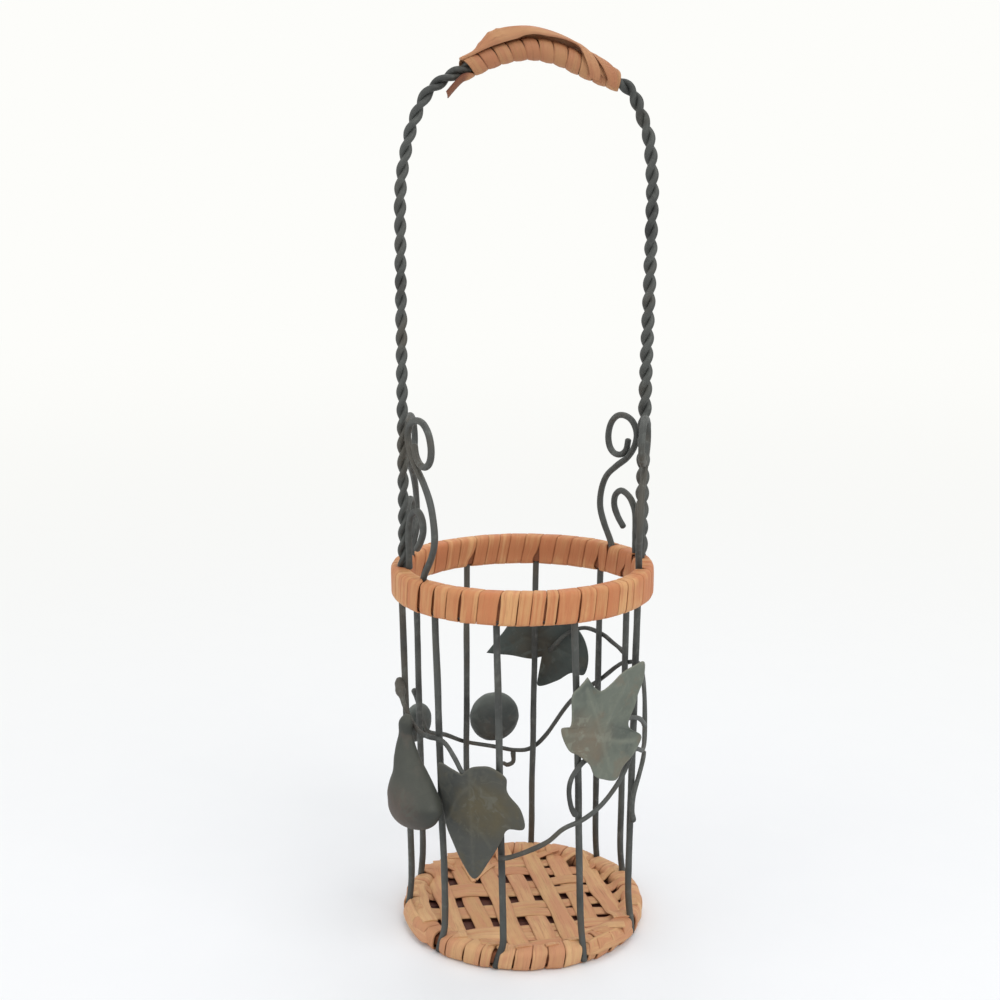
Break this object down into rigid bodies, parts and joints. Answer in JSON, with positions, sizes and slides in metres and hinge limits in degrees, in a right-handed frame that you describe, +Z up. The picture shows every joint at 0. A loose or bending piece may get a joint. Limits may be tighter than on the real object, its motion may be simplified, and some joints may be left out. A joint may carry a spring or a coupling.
{
  "type": "wine bottle basket",
  "caption": "Round wire cage for one wine bottle, rim and base bound with cane, woven cane bottom, tall twisted wire handle with a cane grip, and a wire vine with leaves and fruit.",
  "frame": {"origin": "centre of the basket's underside, on the floor", "axes": "+Z up, +X to the right and -Y towards the viewer in the picture"},
  "size_m": [0.1158, 0.1137, 0.3748],
  "materials": {
    "painted_iron": "aged dark green-grey paint",
    "cane": "split cane, warm orange-brown, satin",
    "base_cane": "split cane, pale brown, satin",
    "leaf_paint": "grey-green paint with brown patina",
    "fruit_paint": "grey-green paint with brown patina"
  },
  "bodies": {
    "root": {"apple": "fruit_paint", "apple_small": "fruit_paint", "base_hoop": "painted_iron", "base_mat": "base_cane", "base_winding_left": "base_cane", "base_winding_right": "base_cane", "grip_cover": "cane", "grip_winding": "cane", "handle_strand_a": "painted_iron", "handle_strand_b": "painted_iron", "hook_left_back": "painted_iron", "hook_left_front": "painted_iron", "hook_right_back": "painted_iron", "hook_right_front": "painted_iron", "leaf_back": "leaf_paint", "leaf_front": "leaf_paint", "leaf_right": "leaf_paint", "leaf_right_stalk": "painted_iron", "pear": "fruit_paint", "rim_hoop_lower": "painted_iron", "rim_hoop_upper": "painted_iron", "rim_winding_left": "cane", "rim_winding_right": "cane", "scroll_left_back": "painted_iron", "scroll_left_front": "painted_iron", "scroll_right_back": "painted_iron", "scroll_right_front": "painted_iron", "tendril_curl": "painted_iron", "tendril_loop": "painted_iron", "upright_01": "painted_iron", "upright_02": "painted_iron", "upright_03": "painted_iron", "upright_04": "painted_iron", "upright_05": "painted_iron", "upright_06": "painted_iron", "upright_07": "painted_iron", "upright_08": "painted_iron", "upright_09": "painted_iron", "upright_10": "painted_iron", "vine_back_branch": "painted_iron", "vine_front_twig": "painted_iron", "vine_main": "painted_iron", "vine_side_tail": "painted_iron"}
  },
  "joints": []
}
